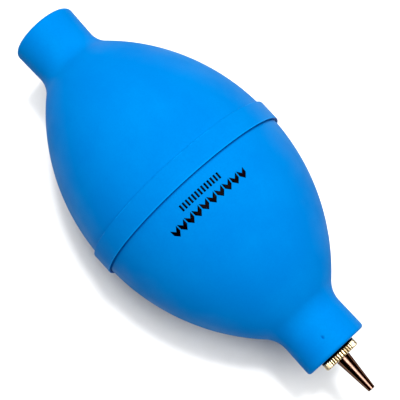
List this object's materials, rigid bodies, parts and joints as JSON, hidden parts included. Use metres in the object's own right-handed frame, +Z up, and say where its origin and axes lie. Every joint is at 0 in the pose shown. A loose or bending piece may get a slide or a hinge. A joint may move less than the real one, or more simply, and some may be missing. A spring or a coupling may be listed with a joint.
{
  "type": "dust blower bulb",
  "caption": "Squeeze bulb air blower: a hollow rubber bulb with a raised centre band, a ball inlet valve in its tail neck and a tapered metal nozzle that unscrews.",
  "frame": {"origin": "centre of the bounding box's base, on the surface the bulb lies on, under its axis", "axes": "+X along the bulb's axis towards the nozzle, +Z up, +Y to the left seen from the tail"},
  "size_m": [0.1212, 0.056, 0.056],
  "materials": {
    "blue_rubber": "matt moulded",
    "black_rubber": "matt",
    "brass": "machined",
    "pale_gold_plate": "bright plated, knurled",
    "copper_plate": "polished",
    "steel": "bright"
  },
  "bodies": {
    "bulb": {"rear_cup": "blue_rubber", "front_cup": "blue_rubber", "seam_band": "blue_rubber", "neck_bush": "brass", "valve_barrel": "brass", "valve_seat": "black_rubber", "ball_keeper": "brass", "dust_gauze": "steel", "gauze_ring": "steel", "valve_spring": "steel"},
    "seal": {"collar_seal": "black_rubber"},
    "nozzle": {"knurled_collar": "pale_gold_plate", "nozzle_shank": "brass", "nozzle_cone": "copper_plate"},
    "ball": {"valve_ball": "steel"}
  },
  "joints": [
    {"name": "nozzle_advance", "type": "slide", "parent": "bulb", "child": "seal", "axis": [1, 0, 0], "range_m": [0, 0.0065]},
    {"name": "nozzle_turn", "type": "hinge", "parent": "seal", "child": "nozzle", "pos_m": [0.0491, 0, 0.028], "axis": [1, 0, 0], "range_deg": [0, 2345]},
    {"name": "ball_lift", "type": "slide", "parent": "bulb", "child": "ball", "axis": [1, 0, 0], "range_m": [0, 0.0012], "stiffness_N_per_m": 20, "springref_m": -0.0005, "deforming": ["valve_spring"]}
  ],
  "couplings": [
    {"joint": "nozzle_turn", "follows": "nozzle_advance", "rad_per_m": 6283.2}
  ]
}
